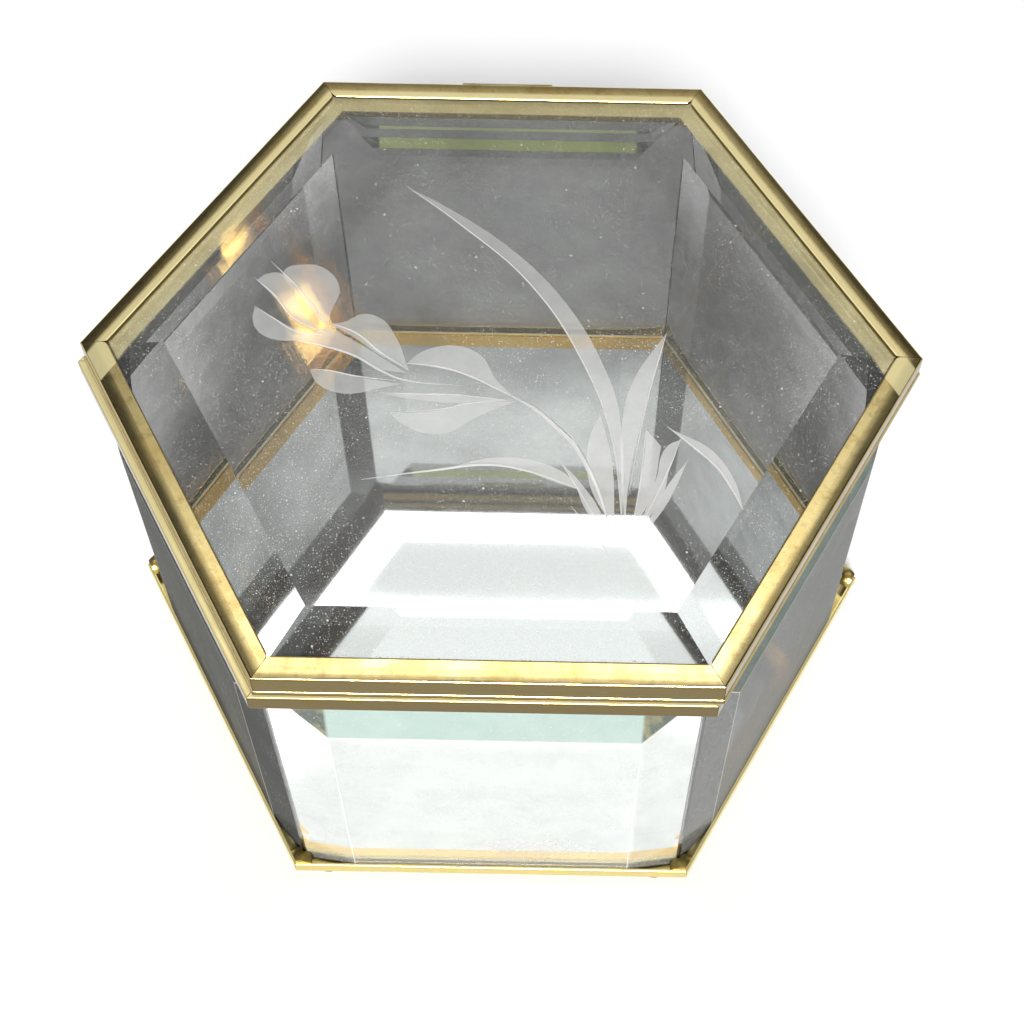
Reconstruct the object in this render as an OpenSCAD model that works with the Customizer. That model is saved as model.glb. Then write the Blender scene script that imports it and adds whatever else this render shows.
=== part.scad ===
// Hexagonal keepsake box: bevelled glass panels held in mitred brass channel,
// a mirror for a floor and a hinged lid with one bevelled pane.
// Z = 0 is the surface that the feet stand on, the front faces -Y and the hinge is at +Y.
// X = 0 is the middle of the box, and Y = 0 is halfway from the front rail to the hinge's back.

/* [Overall] */
// Length of one side of the lid, measured outside the brass
side = 76.2; // [64:0.1:104]
// Height from the underside of the base rail to the top of the lid rail
box_h = 84.9; // [60:0.1:120]

/* [Brass] */
// Thickness of the drawn brass
wall = 0.6; // [0.45:0.05:0.75]
// Radius along the outside edges of the rails
edge_r = 0.4; // [0.2:0.05:0.4]
// Width of the saw cut left open at each mitre
mitre_gap = 0.1; // [0.05:0.01:0.2]

/* [Lid rail] */
// How far the lid sits to the right of the case
lid_offset = 1.0; // [-1.5:0.1:1.5]
// Width of the shallow crown along the outer part of the rail's top
crown_w = 2.4; // [1.6:0.1:3]
// How far the crown falls over that width
crown_drop = 0.25; // [0.15:0.05:0.3]
// Radius between the crown and the rail's outer face
crown_edge_r = 0.5; // [0.3:0.05:0.6]
// How far the lid rail's flanges reach over the glass from the rail's outer face
lid_flange_w = 4.3; // [3.6:0.1:5.5]
// Height of the channel that grips the lid glass
lid_channel_h = 4.6; // [4.4:0.1:6]
// Height of the rounded bead under the channel
lid_bead_h = 1.3; // [0.9:0.1:2]
// How far the bead stands proud of the channel
lid_bead_proud = 0.25; // [0.1:0.05:0.4]
// Radius of the flange's inner corner beside each mitre
flange_corner_r = 1.8; // [0.8:0.1:2.4]

/* [Case rails] */
// Gap between the closed lid and the case
seam_gap = 0.3; // [0.2:0.05:0.5]
// Height of the case's top rail
rim_h = 4.0; // [3:0.1:6]
// How far the case's top rail stands outside the lid
rim_proud = 0.5; // [0.4:0.05:1]
// Height of the base rail
base_h = 3.0; // [2.8:0.1:6]
// Width of the ledge that carries the mirror
mirror_ledge_w = 2.0; // [1:0.1:4]

/* [Glass] */
// Thickness of the lid's pane
lid_glass_t = 4.4; // [3.6:0.1:5]
// Thickness left at the edge of the lid's pane
lid_edge_t = 2.3; // [1.6:0.1:2.6]
// Width of the bevel round the lid's pane
lid_bevel_w = 12.5; // [9:0.1:16]
// Thickness of a side panel
panel_t = 3.0; // [2.6:0.1:3.8]
// Thickness left at a side panel's bevelled edges
panel_edge_t = 1.0; // [0.8:0.1:1.6]
// How far a side panel's face lies inside the case's top rail
panel_inset = 0.55; // [0.2:0.05:0.8]
// Width of the upright bevels on a side panel
side_bevel_w = 9.6; // [6:0.1:14]
// Width of the bevel along a side panel's top edge
top_bevel_w = 15.5; // [9:0.1:20]
// Thickness of the mirror
mirror_t = 2.0; // [1.6:0.1:2.4]
// Clearance between glass and brass
glass_gap = 0.1; // [0.05:0.01:0.2]

/* [Hinge] */
// Radius of the hinge pin
pin_r = 0.8; // [0.6:0.05:1]
// Radial clearance of the pin in the knuckles
running_gap = 0.05; // [0.03:0.01:0.08]
// Wall of a knuckle
knuckle_wall = 0.75; // [0.5:0.05:1]
// Length of each of the case's two knuckles
case_knuckle_l = 15; // [8:0.5:17]
// Length of the lid's knuckle between them
lid_knuckle_l = 18; // [10:0.5:22]
// Gap between neighbouring knuckles, and between the lid's knuckle and the rail
knuckle_gap = 0.3; // [0.2:0.05:0.5]
// Thickness of the leaves that join the knuckles to the rails
leaf_t = 0.6; // [0.5:0.05:0.8]
// How far the pin shows at each end
pin_end_l = 0.5; // [0.3:0.1:1]
// Angle at which the lid's stop lip reaches the case
open_deg = 108; // [95:1:118]
// Reach of the stop lip from the pin's axis
lip_reach = 2.6; // [2.4:0.1:3]
// Thickness of the stop lip
lip_t = 0.8; // [0.5:0.1:1]

/* [Feet and solder] */
// Radius of a foot, a turned ball with a flat underneath
foot_r = 2.2; // [1.8:0.1:3]
// Radius of the flat that a foot stands on
foot_flat_r = 1.1; // [0.8:0.1:1.5]
// Height of the feet below the base rail
foot_h = 3.0; // [2.4:0.1:3.3]
// Distance from a corner of the base rail to the middle of a foot
foot_from_corner = 6.2; // [4:0.1:20]
// Distance from the base rail's outer face to the middle of a foot
foot_inset = 2.6; // [2.2:0.1:4]
// Radius to which the solder in the base rail's corners is rounded
solder_r = 2.8; // [2.2:0.1:3.2]
// Height of the solder above the base rail
solder_h = 1.7; // [1:0.1:2]

/* [Hidden] */
$fn = 48;
SIDES = ["front", "front_right", "back_right", "back", "back_left", "front_left"];
BACK = search(["back"], SIDES)[0];

brass = [0.73, 0.62, 0.29];
aged_brass = [0.6, 0.5, 0.22];
solder_grey = [0.66, 0.6, 0.42];
clear_glass = [0.78, 0.9, 0.86, 0.4];
silvered = [0.82, 0.85, 0.86];
clear_glue = [0.6, 0.72, 0.62, 0.7];

// Distances from the middle of the box to a face of each ring, measured square to a side
lid_a = side * cos(30);
rim_a = lid_a + rim_proud;
panel_out = rim_a - panel_inset;
panel_in = panel_out - panel_t;
base_a = panel_out + glass_gap + wall;
inner_wall_out = panel_in - glass_gap;
inner_wall_in = inner_wall_out - wall;
ledge_in = inner_wall_in - mirror_ledge_w;
mirror_a = inner_wall_in - glass_gap;
lid_glass_a = lid_a - wall - glass_gap;

// Levels
base_top = foot_h + base_h;
floor_z = foot_h + wall;
lid_top = foot_h + box_h;
bead_top = lid_top - lid_channel_h;
lid_bottom = bead_top - lid_bead_h;
lid_glass_z = bead_top + wall;
rim_top = lid_bottom - seam_gap;
rim_bottom = rim_top - rim_h;
panel_top = rim_top - wall - glass_gap;

// The crown of the lid rail: an arc that a smaller one joins to the outer face
crown_arc_r = (crown_w * crown_w + crown_drop * crown_drop) / (2 * crown_drop);
crown_arc_at = [lid_a - crown_w, lid_top - crown_arc_r];
crown_reach = crown_arc_r - crown_edge_r;
crown_edge_in = crown_w - crown_edge_r;
crown_edge_z = crown_arc_at.y + sqrt(crown_reach * crown_reach - crown_edge_in * crown_edge_in);
crown_join = crown_arc_at.x + crown_arc_r * crown_edge_in / crown_reach;

// Half lengths along a side
panel_half = panel_in * tan(30) - glass_gap / 2;
base_half = base_a * tan(30);

// Hinge: the pin's axis lies behind the seam between the lid and the case
knuckle_r = pin_r + running_gap + knuckle_wall;
axis_a = rim_a + knuckle_gap + knuckle_r;
axis_z = rim_top + seam_gap / 2;
hinge_half = lid_knuckle_l / 2 + knuckle_gap + case_knuckle_l;
// The lip's leading corner meets the rail's plane, less a small gap, at open_deg
lip_stop_deg = acos((knuckle_gap + knuckle_r - seam_gap / 3) / lip_reach);
lip_half_deg = asin(lip_t / 2 / lip_reach);
lip_deg = open_deg - 180 + lip_stop_deg + lip_half_deg;

// The box is moved so that its footprint, hinge included, is centred on Y = 0
back_reach = axis_a + max(knuckle_r, lip_reach * cos(lip_deg + lip_half_deg));
centre_shift = (back_reach - base_a) / 2;

// Everything is drawn on the front side and turned to side number i
module on_side(i) {
    translate([0, -centre_shift, 0]) rotate([0, 0, 60 * i]) children();
}

// The lid's rails and pane stand together, a little off the case's middle
module on_lid() {
    translate([lid_offset, 0, 0]) children();
}

// Extrudes a section drawn as [distance outwards, height] along the side
module along_side(length) {
    rotate([90, 0, -90]) linear_extrude(height = length, center = true) children();
}

// The sixth of the plan that belongs to one side, less half a saw cut at each end
module mitre_wedge() {
    reach = 2 * side;
    half = reach * tan(30);
    translate([0, -mitre_gap, 0])
        linear_extrude(height = 2 * box_h) polygon([[0, 0], [-half, -reach], [half, -reach]]);
}

// A mitred rail from the section given as a child
module mitred() {
    intersection() {
        along_side(3 * side) children();
        mitre_wedge();
    }
}

// Takes a square corner off to radius r: dir says which way the corner points
module corner_cut(at, dir, r) {
    centre = at - r * dir;
    far = centre + 2 * r * dir;
    difference() {
        translate([min(centre.x, far.x), min(centre.y, far.y)]) square(2 * r);
        translate(centre) circle(r);
    }
}

// A rectangle from its lowest to its highest corner
module block(low, high) {
    translate(low) square(high - low);
}

// What a circle of radius r about centre leaves of the rail's top corner, from x outwards
module crown_cut(x, centre, r) {
    difference() {
        block([x, crown_edge_z], [lid_a + wall, lid_top + wall]);
        translate(centre) circle(r);
    }
}

// Section of the lid rail: a channel open to the inside over a rounded bead
module lid_section() {
    tip = lid_a - lid_flange_w;
    bead_r = lid_bead_h / 2;
    difference() {
        block([tip, bead_top], [lid_a, lid_top]);
        block([tip - wall, lid_glass_z], [lid_a - wall, lid_top - wall]);
        crown_cut(crown_arc_at.x, crown_arc_at, crown_arc_r);
        crown_cut(crown_join, [lid_a - crown_edge_r, crown_edge_z], crown_edge_r);
        corner_cut([tip, lid_top], [-1, 1], edge_r);
    }
    block([tip, lid_bottom], [lid_a + lid_bead_proud - bead_r, bead_top]);
    translate([lid_a + lid_bead_proud - bead_r, lid_bottom + bead_r]) circle(bead_r);
}

// The bits that round the top flange's inner corners beside the mitres
module flange_corner_bits() {
    tip = lid_a - lid_flange_w;
    tangent_l = flange_corner_r * tan(30);
    for (s = [-1, 1]) {
        corner = [s * (tip - mitre_gap) * tan(30), -tip];
        centre = corner + [-s * tangent_l, -flange_corner_r];
        along_mitre = corner + tangent_l * [s * sin(30), -cos(30)];
        translate([0, 0, lid_top - 1.2 * wall]) linear_extrude(height = 2 * wall) difference() {
            polygon([
                corner + [s * mitre_gap, mitre_gap],
                corner + [-s * tangent_l, mitre_gap],
                centre,
                along_mitre + mitre_gap * [s, 0]
            ]);
            translate(centre) circle(flange_corner_r);
        }
    }
}

module lid_rail(i) {
    color(brass) on_lid() on_side(i) difference() {
        mitred() lid_section();
        flange_corner_bits();
    }
}

// The pane: a hexagon whose top edges are ground back to a shallow slope
module lid_glass() {
    slope_top = lid_glass_z + lid_glass_t;
    color(clear_glass) on_lid() translate([0, -centre_shift, 0]) difference() {
        translate([0, 0, lid_glass_z]) cylinder(h = lid_glass_t, r = lid_glass_a / cos(30), $fn = 6);
        for (i = [0:5]) rotate([0, 0, 60 * i]) along_side(2 * side) polygon([
            [lid_glass_a, lid_glass_z + lid_edge_t],
            [lid_glass_a - lid_bevel_w, slope_top],
            [lid_glass_a - lid_bevel_w, slope_top + lid_edge_t],
            [lid_glass_a + lid_edge_t, slope_top + lid_edge_t],
            [lid_glass_a + lid_edge_t, lid_glass_z + lid_edge_t]
        ]);
    }
}

// Section of the case's top rail: a channel open downwards over the panel's edge
module rim_section() {
    difference() {
        block([inner_wall_in, rim_bottom], [rim_a, rim_top]);
        block([inner_wall_out, rim_bottom - wall], [rim_a - wall, rim_top - wall]);
        corner_cut([rim_a, rim_top], [1, 1], edge_r);
        corner_cut([rim_a, rim_bottom], [1, -1], edge_r);
    }
}

module rim_rail(i) {
    color(brass) on_side(i) mitred() rim_section();
}

// Section of the base rail: a channel for the panel and a ledge for the mirror
module base_section() {
    difference() {
        block([ledge_in, foot_h], [base_a, base_top]);
        block([ledge_in - wall, floor_z], [inner_wall_in, base_top + wall]);
        block([inner_wall_out, floor_z], [base_a - wall, base_top + wall]);
        corner_cut([base_a, base_top], [1, 1], edge_r);
        corner_cut([base_a, foot_h], [1, -1], edge_r);
    }
}

module base_rail(i) {
    color(aged_brass) on_side(i) mitred() base_section();
}

// A side panel: square-cut ends, bevelled outside up both ends and along the top
module side_panel(i) {
    color(clear_glass) on_side(i) intersection() {
        linear_extrude(height = 2 * box_h) polygon([
            [-panel_half, -panel_in],
            [panel_half, -panel_in],
            [panel_half, -panel_in - panel_edge_t],
            [panel_half - side_bevel_w, -panel_out],
            [side_bevel_w - panel_half, -panel_out],
            [-panel_half, -panel_in - panel_edge_t]
        ]);
        along_side(2 * side) polygon([
            [panel_in, floor_z],
            [panel_out, floor_z],
            [panel_out, panel_top - top_bevel_w],
            [panel_in + panel_edge_t, panel_top],
            [panel_in, panel_top]
        ]);
    }
}

// One bead of clear glue in the wedge between two panels' square ends
module seam() {
    corner = panel_in * [tan(30), -1];
    translate([0, 0, floor_z]) linear_extrude(height = panel_top - floor_z) polygon([
        corner,
        corner + panel_edge_t * [0, -1],
        corner + panel_edge_t * [cos(30), -sin(30)]
    ]);
}

module corner_seams() {
    color(clear_glue) for (i = [0:5]) on_side(i) seam();
}

// Fillets of solder on the base rail's corners, against the ends of the panels
module corner_solder() {
    wall_mid = (base_a + panel_in + panel_edge_t) / 2;
    solder_a = base_a - edge_r;
    color(solder_grey) for (i = [0:5]) on_side(i) difference() {
        intersection() {
            translate([wall_mid * tan(30), -wall_mid, base_top + solder_h - solder_r]) sphere(solder_r);
            translate([0, 0, base_top]) cylinder(h = 2 * solder_h, r = solder_a / cos(30), $fn = 6);
        }
        corner_glass();
        rotate([0, 0, 60]) mirror([1, 0, 0]) corner_glass();
    }
}

// What a fillet keeps clear of at the right-hand end of a panel: the glass and the glue
module corner_glass() {
    linear_extrude(height = 2 * box_h) polygon([
        [panel_half - side_bevel_w, -panel_in],
        [panel_half - side_bevel_w, -panel_out - glass_gap],
        [panel_half, -panel_in - panel_edge_t - glass_gap],
        [panel_half + panel_edge_t, -panel_in - panel_edge_t - glass_gap],
        [panel_half + panel_edge_t, -panel_in]
    ]);
}

module base_mirror() {
    color(silvered) translate([0, -centre_shift, floor_z])
        cylinder(h = mirror_t, r = mirror_a / cos(30), $fn = 6);
}

// Four turned feet, near the ends of the front and the back rail
module feet() {
    middle_z = sqrt(pow(foot_r, 2) - pow(foot_flat_r, 2));
    color(aged_brass) for (i = [0, BACK]) for (s = [-1, 1]) on_side(i)
        translate([s * (base_half - foot_from_corner), foot_inset - base_a, 0]) intersection() {
            translate([0, 0, middle_z]) sphere(foot_r);
            cylinder(h = foot_h, r = 2 * foot_r);
        }
}

// A knuckle of the given length, with the sections of its leaf and lip as children
module knuckle(length) {
    difference() {
        union() {
            along_side(length) translate([axis_a, axis_z]) circle(knuckle_r);
            for (n = [0:$children - 1]) along_side(length) children(n);
        }
        along_side(2 * length) translate([axis_a, axis_z]) circle(pin_r + running_gap);
    }
}

module hinge_case_knuckles() {
    middle = hinge_half - case_knuckle_l / 2;
    color(brass) on_side(BACK) for (s = [-1, 1]) translate([s * middle, 0, 0])
        knuckle(case_knuckle_l)
            block([rim_a, rim_bottom + edge_r], [rim_a + leaf_t, axis_z - seam_gap / 2]);
}

// The lid's knuckle: its leaf climbs the lid rail, and a lip under it stops the lid
module hinge_lid_knuckle() {
    leaf_top = crown_edge_z;
    bead_clear = lid_a + lid_bead_proud + glass_gap;
    root = knuckle_r - knuckle_wall / 2;
    color(brass) on_side(BACK) knuckle(lid_knuckle_l) {
        polygon([
            [lid_a, bead_top + glass_gap],
            [lid_a, leaf_top],
            [lid_a + leaf_t, leaf_top],
            [axis_a, axis_z + root],
            [axis_a - root, axis_z],
            [bead_clear, axis_z + knuckle_gap],
            [bead_clear, bead_top + glass_gap]
        ]);
        translate([axis_a, axis_z]) rotate(lip_deg) translate([0, -lip_t / 2])
            square([sqrt(pow(lip_reach, 2) - pow(lip_t / 2, 2)), lip_t]);
    }
}

module hinge_pin() {
    chamfer = pin_end_l / 2;
    half = hinge_half + pin_end_l;
    color(aged_brass) on_side(BACK) translate([0, -axis_a, axis_z]) rotate([0, 90, 0])
        rotate_extrude() polygon([
            [0, -half],
            [pin_r - chamfer, -half],
            [pin_r, chamfer - half],
            [pin_r, half - chamfer],
            [pin_r - chamfer, half],
            [0, half]
        ]);
}

lid_glass();
base_mirror();
corner_seams();
corner_solder();
feet();
hinge_case_knuckles();
hinge_lid_knuckle();
hinge_pin();
lid_rail(0);  // lid_rail_front
lid_rail(1);  // lid_rail_front_right
lid_rail(2);  // lid_rail_back_right
lid_rail(3);  // lid_rail_back
lid_rail(4);  // lid_rail_back_left
lid_rail(5);  // lid_rail_front_left
rim_rail(0);  // rim_rail_front
rim_rail(1);  // rim_rail_front_right
rim_rail(2);  // rim_rail_back_right
rim_rail(3);  // rim_rail_back
rim_rail(4);  // rim_rail_back_left
rim_rail(5);  // rim_rail_front_left
base_rail(0);  // base_rail_front
base_rail(1);  // base_rail_front_right
base_rail(2);  // base_rail_back_right
base_rail(3);  // base_rail_back
base_rail(4);  // base_rail_back_left
base_rail(5);  // base_rail_front_left
side_panel(0);  // side_panel_front
side_panel(1);  // side_panel_front_right
side_panel(2);  // side_panel_back_right
side_panel(3);  // side_panel_back
side_panel(4);  // side_panel_back_left
side_panel(5);  // side_panel_front_left
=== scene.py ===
"""Hexagonal keepsake box of bevelled glass in aged brass channel.

The finishes come first, then the lid's wheel-cut spray, the studio and the camera.
"""

import math

import bpy
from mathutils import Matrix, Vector


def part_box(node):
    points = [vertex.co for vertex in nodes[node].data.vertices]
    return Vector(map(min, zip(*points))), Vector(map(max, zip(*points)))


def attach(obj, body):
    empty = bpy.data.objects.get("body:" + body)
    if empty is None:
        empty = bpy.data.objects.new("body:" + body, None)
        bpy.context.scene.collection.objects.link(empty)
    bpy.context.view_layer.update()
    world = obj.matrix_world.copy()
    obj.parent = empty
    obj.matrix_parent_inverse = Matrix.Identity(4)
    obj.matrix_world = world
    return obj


MM = 0.001
# The six sides in order round the box, each a sixth of a turn past the one before
SIDES = ["front", "front_right", "back_right", "back", "back_left", "front_left"]
SIXTH = 60
ALL_TURNS = range(len(SIDES))
FRONT_TURN = 0
RIGHT_BACK_TURN = 2
BACK_TURNS = (2, 3, 4)

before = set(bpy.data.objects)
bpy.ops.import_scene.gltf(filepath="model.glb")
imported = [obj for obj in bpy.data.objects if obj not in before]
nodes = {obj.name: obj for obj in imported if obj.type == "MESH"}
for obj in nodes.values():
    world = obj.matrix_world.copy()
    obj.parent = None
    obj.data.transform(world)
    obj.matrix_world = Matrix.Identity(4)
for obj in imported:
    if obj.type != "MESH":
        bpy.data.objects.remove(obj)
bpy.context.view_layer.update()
mirror_low, mirror_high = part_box("base_mirror")
case_middle = ((mirror_low[0] + mirror_high[0]) / 2, (mirror_low[1] + mirror_high[1]) / 2, 0)
mirror_half = (mirror_high[1] - mirror_low[1]) / 2
pane_low, pane_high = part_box("lid_glass")
pane_middle = (Vector(pane_low) + Vector(pane_high)) / 2
pane_half = (pane_high[1] - pane_low[1]) / 2
panel_low, panel_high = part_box("side_panel_front")
panel_half = (panel_high[0] - panel_low[0]) / 2
panel_top = panel_high[2]
# The distance of a side pane's inner face from the box's middle
panel_inner = case_middle[1] - panel_high[1]

# The lid rail's flange covers this much of the pane's edge
FLANGE_OVERLAP = 3.6 * MM
flange_edge = pane_half - FLANGE_OVERLAP
# The side panes' bevels, up both ends and along the top
SIDE_BEVEL = 9.6 * MM
TOP_BEVEL = 15.5 * MM
# The brass lip turned over the mirror's edge, and how much less shows at the front and the right back
LIP_WIDTH = 3.2 * MM
LIP_LESS = 1.6 * MM
# Cream painted light beside the back rails: where it ends and where it is whole, on the flange and on the
# pane
CREAM_ON_FLANGE = (1.9 * MM, 1.3 * MM)
CREAM_ON_PANE = (3.9 * MM, 3.3 * MM)
# Only rails as far out as this from the pane's edge count as back rails
BACK_RAIL_REACH = 8 * MM
# Lint in cells 0.4, 0.6 and 1.1 mm wide: cells to the metre, and the share that hold a grain
LINT_SIZES = ((2700.0, 0.9), (1700.0, 0.45), (900.0, 0.06))
LINT_PER_DUST = 22
LINT_MOST = 0.75
# An arris highlight's half width, where it ends and where it is whole
ARRIS = (0.16 * MM, 0.06 * MM)
# How softly the painted glow's strip and the seams beside it end
STRIP_FADE = 0.4 * MM
SEAM_FADE = 0.3 * MM
# A bevel's face lies at least this far outside the pane's inner face
BEVEL_CLEAR = 0.2 * MM
# Two distances past the flat whose product is under this lie on a bevel's edge, not on a mitre
NO_MITRE = 1e-10


# ---------------------------------------------------------------- materials


def colour(hex_code):
    """An sRGB hex value as linear RGBA."""
    parts = [int(hex_code[i : i + 2], 16) / 255 for i in (1, 3, 5)]
    return (*(p / 12.92 if p <= 0.04045 else ((p + 0.055) / 1.055) ** 2.4 for p in parts), 1.0)


def new_material(name):
    """An empty node material."""
    made = bpy.data.materials.new(name)
    made.use_nodes = True
    made.node_tree.nodes.clear()
    return made


def node(mat, kind, inputs=None, **settings):
    """Adds a node: an input given as a socket is linked, anything else is set."""
    made = mat.node_tree.nodes.new("ShaderNode" + kind)
    for name, value in settings.items():
        setattr(made, name, value)
    for name, value in (inputs or {}).items():
        socket = made.inputs[name]
        if isinstance(value, bpy.types.NodeSocket):
            mat.node_tree.links.new(value, socket)
        else:
            socket.default_value = value
    return made


def side_angle(turn):
    """How far round the box a side is, in radians from the front."""
    return math.radians(SIXTH * turn)


def reach_out(mat, place, middle, turns):
    """How far out from the middle a place lies, toward the farthest of the sides given."""
    centred = node(mat, "VectorMath", {0: place, 1: (middle[0], middle[1], 0)}, operation="SUBTRACT")
    reach = 0.0
    for turn in turns:
        way = (math.sin(side_angle(turn)), -math.cos(side_angle(turn)), 0)
        toward = node(mat, "VectorMath", {0: centred.outputs[0], 1: way}, operation="DOT_PRODUCT")
        reach = node(mat, "Math", {0: toward.outputs["Value"], 1: reach}, operation="MAXIMUM").outputs[0]
    return reach


def drawn_brass(name, polished, tarnished, painted_side_shade, cream_light_share, turned):
    """Yellow brass drawn into channel: lines along its length, tarnish in patches, sides painted darker
    as painted shade, and a share of cream matt on top as painted light.
    """
    mat = new_material(name)
    where = node(mat, "TexCoord")
    place = where.outputs["Object"]
    along = node(mat, "Mapping", {"Vector": place, "Rotation": (0, 0, -turned)})
    lines = node(mat, "Mapping", {"Vector": along.outputs[0], "Scale": (0.05, 1, 1)})
    # Tarnish lies in patches about 8 mm across, mottled every 2 mm; the die leaves lines 0.4 mm apart
    patches = node(mat, "TexNoise", {"Vector": place, "Scale": 120.0, "Detail": 6.0, "Roughness": 0.65})
    mottle = node(mat, "TexNoise", {"Vector": place, "Scale": 520.0, "Detail": 4.0, "Roughness": 0.7})
    draw_lines = node(mat, "TexNoise", {"Vector": lines.outputs[0], "Scale": 2600.0, "Detail": 2.0})
    patch_mask = node(
        mat, "MapRange", {"Value": patches.outputs["Fac"], "From Min": 0.42, "From Max": 0.7}
    )
    brass = node(
        mat,
        "MixRGB",
        {"Fac": patch_mask.outputs[0], "Color1": colour(polished), "Color2": colour(tarnished)},
    )
    mottle_mask = node(
        mat,
        "MapRange",
        {"Value": mottle.outputs["Fac"], "From Min": 0.52, "From Max": 0.72, "To Max": 0.3},
    )
    mottled = node(
        mat,
        "MixRGB",
        {"Fac": mottle_mask.outputs[0], "Color1": brass.outputs[0], "Color2": colour("#7a6434")},
    )
    # Painted shade: faces that do not look up take the darker side colour
    face = node(mat, "SeparateXYZ", {"Vector": where.outputs["Normal"]})
    side_shade_mask = node(
        mat,
        "MapRange",
        {"Value": face.outputs["Z"], "From Min": 0.8, "From Max": 0.3},
        interpolation_type="SMOOTHSTEP",
    )
    side_shaded = node(
        mat,
        "MixRGB",
        {"Fac": side_shade_mask.outputs[0], "Color1": mottled.outputs[0], "Color2": colour(painted_side_shade)},
    )
    rough = node(
        mat,
        "MapRange",
        {
            "Value": patches.outputs["Fac"],
            "From Min": 0.35,
            "From Max": 0.65,
            "To Min": 0.15,
            "To Max": 0.22,
        },
    )
    bump = node(
        mat, "Bump", {"Height": draw_lines.outputs["Fac"], "Strength": 0.15, "Distance": 0.02 * MM}
    )
    metal = node(
        mat,
        "BsdfPrincipled",
        {
            "Base Color": side_shaded.outputs[0],
            "Metallic": 1.0,
            "Roughness": rough.outputs[0],
            "Normal": bump.outputs[0],
        },
    )
    # Painted light: a cream matt laid on upward faces makes their tops brighter
    cream_light_cover = node(
        mat,
        "MapRange",
        {"Value": face.outputs["Z"], "From Min": 0.5, "From Max": 0.9, "To Max": cream_light_share},
    )
    cream_light = node(mat, "BsdfDiffuse", {"Color": colour("#f2e6b0")})
    if name.startswith("lid_rail"):
        # On the back sides the cream painted light also runs along the flange's inner edge
        reach = reach_out(mat, place, pane_middle, BACK_TURNS)
        ends, whole = (flange_edge + width for width in CREAM_ON_FLANGE)
        inner = node(
            mat, "MapRange", {"Value": reach, "From Min": ends, "From Max": whole, "To Max": 0.5}
        )
        upward = node(mat, "MapRange", {"Value": face.outputs["Z"], "From Min": 0.8, "From Max": 0.95})
        seen = node(mat, "Math", {0: inner.outputs[0], 1: upward.outputs[0]}, operation="MULTIPLY")
        on_back = node(mat, "Math", {0: reach, 1: pane_half - BACK_RAIL_REACH}, operation="GREATER_THAN")
        cream_light_cover = node(mat, "Math", {0: seen.outputs[0], 1: on_back.outputs[0]}, operation="MULTIPLY")
    shader = node(mat, "MixShader", {"Fac": cream_light_cover.outputs[0], 1: metal.outputs[0], 2: cream_light.outputs[0]})
    node(mat, "OutputMaterial", {"Surface": shader.outputs[0]})
    return mat


def pane_cover(mat, place, cloud, dust):
    """How much the dust hides: a thin haze, and white grains gathered where it is thick."""
    haze = node(
        mat,
        "MapRange",
        {"Value": cloud, "From Min": 0.35, "From Max": 0.7, "To Min": 0.3 * dust, "To Max": dust},
    )
    cover = haze.outputs[0]
    gathered = node(mat, "MapRange", {"Value": cloud, "From Min": 0.36, "From Max": 0.5})
    strength = min(LINT_MOST, LINT_PER_DUST * dust)
    for scale, share in LINT_SIZES:
        grain = node(mat, "TexVoronoi", {"Vector": place, "Scale": scale})
        dot = node(
            mat,
            "MapRange",
            {"Value": grain.outputs["Distance"], "From Min": 0.22, "From Max": 0.14},
        )
        pick = node(mat, "SeparateColor", {"Color": grain.outputs["Color"]})
        some = node(
            mat,
            "MapRange",
            {"Value": pick.outputs[0], "From Min": 1.0 - share, "From Max": 1.02 - share},
        )
        speck = node(mat, "Math", {0: dot.outputs[0], 1: some.outputs[0]}, operation="MULTIPLY")
        thick = node(mat, "Math", {0: speck.outputs[0], 1: gathered.outputs[0]}, operation="MULTIPLY")
        strong = node(mat, "Math", {0: thick.outputs[0], 1: strength}, operation="MULTIPLY")
        cover = node(mat, "Math", {0: cover, 1: strong.outputs[0]}, operation="MAXIMUM").outputs[0]
    return cover


def side_pane_places(mat, place, turned):
    """A place on a side pane: past its side arris, past its top arris, off the mitre, and out."""
    centred = node(mat, "VectorMath", {0: place, 1: case_middle}, operation="SUBTRACT")
    along = node(mat, "Mapping", {"Vector": centred.outputs[0], "Rotation": (0, 0, -turned)})
    split = node(mat, "SeparateXYZ", {"Vector": along.outputs[0]})
    across = node(mat, "Math", {0: split.outputs["X"]}, operation="ABSOLUTE")
    past_side = node(
        mat, "Math", {0: across.outputs[0], 1: panel_half - SIDE_BEVEL}, operation="SUBTRACT"
    )
    past_top = node(mat, "Math", {0: split.outputs["Z"], 1: panel_top - TOP_BEVEL}, operation="SUBTRACT")
    # On a mitre both distances grow together, in the ratio of the bevels' widths
    lean = node(mat, "Math", {0: past_top.outputs[0], 1: SIDE_BEVEL / TOP_BEVEL}, operation="MULTIPLY")
    off_mitre = node(mat, "Math", {0: past_side.outputs[0], 1: lean.outputs[0]}, operation="SUBTRACT")
    return past_side.outputs[0], past_top.outputs[0], off_mitre.outputs[0], split.outputs["Y"]


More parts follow.
